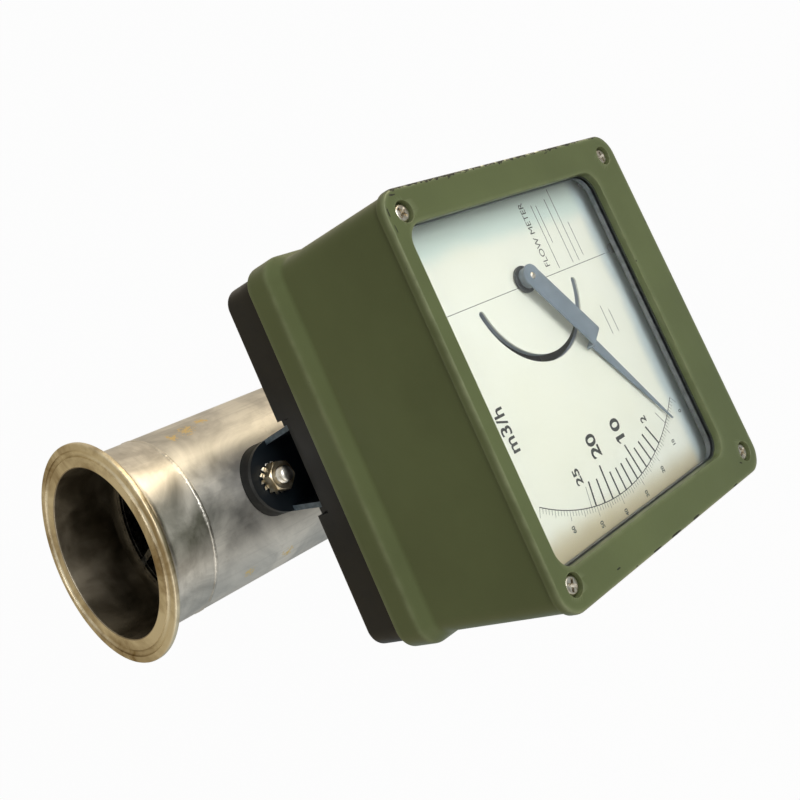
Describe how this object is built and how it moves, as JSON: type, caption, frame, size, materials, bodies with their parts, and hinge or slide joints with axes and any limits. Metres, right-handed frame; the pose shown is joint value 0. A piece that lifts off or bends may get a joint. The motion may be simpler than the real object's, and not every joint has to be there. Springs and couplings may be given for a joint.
{
  "type": "flow meter",
  "caption": "Metal variable-area flow meter: steel tube with clamp ferrules, a guided float inside, and a square indicator housing with window, dial and pointer on a bracket.",
  "frame": {"origin": "centre of the lower ferrule's sealing face, the inlet, on the tube's axis", "axes": "+Z along the tube's axis from inlet to outlet, upright in use; -Y towards whoever reads the dial; +X to the reader's right"},
  "size_m": [0.1786, 0.2376, 0.3],
  "materials": {
    "tube_steel": "cloudy polished stainless steel",
    "ferrule_steel": "polished stainless steel",
    "inner_steel": "turned stainless steel",
    "magnet": "bare magnet",
    "bush_plastic": "plain",
    "pad_plastic": "matt moulded",
    "bracket_paint": "matt black paint on folded steel",
    "zinc_steel": "bright plated steel",
    "screw_steel": "bright plated steel",
    "hood_paint": "olive paint on cast aluminium",
    "base_paint": "black paint on cast aluminium",
    "seal_rubber": "matt",
    "window_glass": "clear float glass",
    "window_frame_steel": "plain sheet",
    "dial_print": "cream printed sheet",
    "inner_aluminium": "plain",
    "bearing_brass": "turned",
    "pointer_black": "black painted sheet"
  },
  "bodies": {
    "meter": {"measuring_tube": "tube_steel", "upper_ferrule": "ferrule_steel", "lower_ferrule": "ferrule_steel", "metering_cone": "inner_steel", "lower_guide": "inner_steel", "upper_guide": "inner_steel", "lower_snap_ring": "inner_steel", "upper_snap_ring": "inner_steel", "guide_rod": "inner_steel", "rod_nuts": "inner_steel", "lower_stop_sleeve": "inner_steel", "upper_stop_sleeve": "inner_steel", "upper_saddle_pad": "pad_plastic", "lower_saddle_pad": "pad_plastic", "mounting_channel": "bracket_paint", "weld_studs": "zinc_steel", "lock_washers": "zinc_steel", "stud_nuts": "zinc_steel", "channel_screws": "zinc_steel", "indicator_base": "base_paint", "base_gasket": "seal_rubber", "hood": "hood_paint", "cover_screws": "screw_steel", "window_gasket": "seal_rubber", "window_glass": "window_glass", "window_frame": "window_frame_steel", "frame_screws": "screw_steel", "dial_posts": "inner_aluminium", "dial_carrier": "inner_aluminium", "scale_plate": "dial_print", "name_plate": "dial_print", "dial_screws": "screw_steel", "movement_frame": "inner_aluminium", "movement_posts": "inner_aluminium", "rear_bearing": "bearing_brass", "front_bearing": "bearing_brass"},
    "float": {"float_body": "inner_steel", "float_magnet": "magnet", "float_cover": "inner_steel", "lower_float_bush": "bush_plastic", "upper_float_bush": "bush_plastic"},
    "pointer": {"pointer": "pointer_black", "pointer_hub": "pointer_black", "pivot_shaft": "screw_steel", "follower_arm": "inner_aluminium", "follower_magnet": "magnet", "counterweight": "bearing_brass"}
  },
  "joints": [
    {"name": "float_travel", "type": "slide", "parent": "meter", "child": "float", "axis": [0, 0, 1], "range_m": [0, 0.06]},
    {"name": "pointer_turn", "type": "hinge", "parent": "meter", "child": "pointer", "pos_m": [0.0359, -0.17, 0.1569], "axis": [0, 1, 0], "range_deg": [0, 60]}
  ],
  "couplings": [
    {"joint": "pointer_turn", "follows": "float_travel", "rad_per_m": 17.453}
  ]
}
